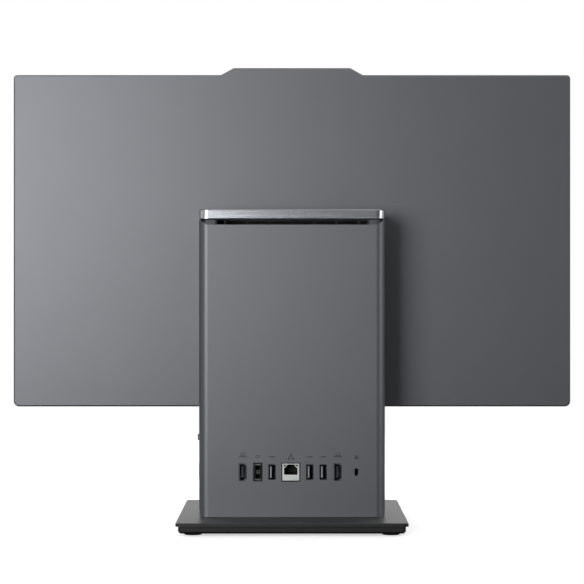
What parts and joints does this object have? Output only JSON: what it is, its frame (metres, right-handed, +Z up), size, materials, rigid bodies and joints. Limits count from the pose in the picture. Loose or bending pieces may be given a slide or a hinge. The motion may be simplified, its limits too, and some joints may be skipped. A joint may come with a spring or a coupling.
{
  "type": "all in one pc",
  "caption": "All-in-one desktop computer: a thin tilting display on a column that houses the computer, with rear and side ports and a flat base.",
  "frame": {"origin": "under the middle of the base, on the surface that the four feet rest on", "axes": "+Z up; the screen faces -Y and the rear ports face +Y; +X is the user's right hand, where the power button is"},
  "size_m": [0.5414, 0.19, 0.4392],
  "materials": {
    "housing_grey": "satin",
    "base_paint": "satin",
    "tray_black": "matte",
    "foot_rubber": "matte",
    "band_silver": "satin",
    "duct_black": "matte",
    "bracket_steel": "satin",
    "hinge_steel": "satin",
    "screw_steel": "satin",
    "port_shell": "bright",
    "dark_shell": "satin",
    "socket_black": "matte",
    "tongue_grey": "matte",
    "tongue_black": "matte",
    "pin_brass": "bright",
    "circuit_board": "gloss",
    "chip_black": "matte",
    "processor": "satin",
    "heat_metal": "satin",
    "heat_pipe": "satin",
    "fan_black": "satin",
    "battery": "satin",
    "frame_black": "matte",
    "bezel_black": "satin",
    "chin_grey": "satin",
    "screen_glass": "gloss",
    "module_metal": "satin",
    "lens_glass": "gloss",
    "antenna_foil": "satin",
    "speaker_black": "matte"
  },
  "bodies": {
    "stand": {"base_tray": "tray_black", "rubber_feet": "foot_rubber", "base_plate": "base_paint", "base_screws": "screw_steel", "stand_bracket": "bracket_steel", "hinge_base": "hinge_steel", "hinge_shaft": "hinge_steel", "friction_washers": "hinge_steel", "hinge_screws": "screw_steel", "column_rear_cover": "housing_grey", "column_front_cover": "housing_grey", "cover_screws": "screw_steel", "top_band": "band_silver", "top_cap": "housing_grey", "exhaust_neck": "duct_black", "rear_usb_port_1": "dark_shell", "rear_usb_port_2": "dark_shell", "rear_usb_port_3": "dark_shell", "rear_hdmi_port_1": "dark_shell", "rear_hdmi_port_2": "dark_shell", "usb_tongues": "tongue_grey", "hdmi_tongues": "tongue_black", "ethernet_jack": "port_shell", "ethernet_insert": "socket_black", "power_inlet": "socket_black", "power_inlet_pin": "pin_brass", "lock_plate": "screw_steel", "side_usb_a_port": "dark_shell", "side_usb_c_port": "port_shell", "audio_jack": "socket_black", "power_switch": "chip_black", "system_board": "circuit_board", "board_screws": "screw_steel", "cpu": "processor", "heat_sink": "heat_metal", "heat_pipe": "heat_pipe", "fin_stack": "heat_metal", "fan_housing": "fan_black", "memory_module_1": "circuit_board", "memory_module_2": "circuit_board", "storage_drive": "chip_black", "wifi_card": "circuit_board", "coin_cell": "battery"},
    "display": {"display_bracket": "bracket_steel", "bracket_screws": "screw_steel", "display_rear_cover": "housing_grey", "middle_frame": "frame_black", "front_bezel": "bezel_black", "chin_trim": "chin_grey", "lcd_module": "module_metal", "lcd_glass": "screen_glass", "converter_board": "circuit_board", "camera_board": "circuit_board", "camera_lens": "lens_glass", "wifi_antennas": "antenna_foil", "speaker_right": "speaker_black", "speaker_left": "speaker_black"},
    "power_button": {"power_button": "housing_grey"},
    "camera_shutter": {"camera_shutter": "bezel_black"},
    "fan_rotor": {"fan_impeller": "fan_black"}
  },
  "joints": [
    {"name": "display_tilt", "type": "hinge", "parent": "stand", "child": "display", "pos_m": [0, -0.019, 0.268], "axis": [-1, 0, 0], "range_deg": [-5, 20]},
    {"name": "power_button_press", "type": "slide", "parent": "stand", "child": "power_button", "axis": [-1, 0, 0], "range_m": [0, 0.001], "stiffness_N_per_m": 800},
    {"name": "camera_shutter_slide", "type": "slide", "parent": "display", "child": "camera_shutter", "axis": [-1, 0, 0], "range_m": [0, 0.008]},
    {"name": "fan_spin", "type": "hinge", "parent": "stand", "child": "fan_rotor", "pos_m": [-0.035, 0.01, 0.193], "axis": [0, 1, 0], "continuous": true}
  ]
}
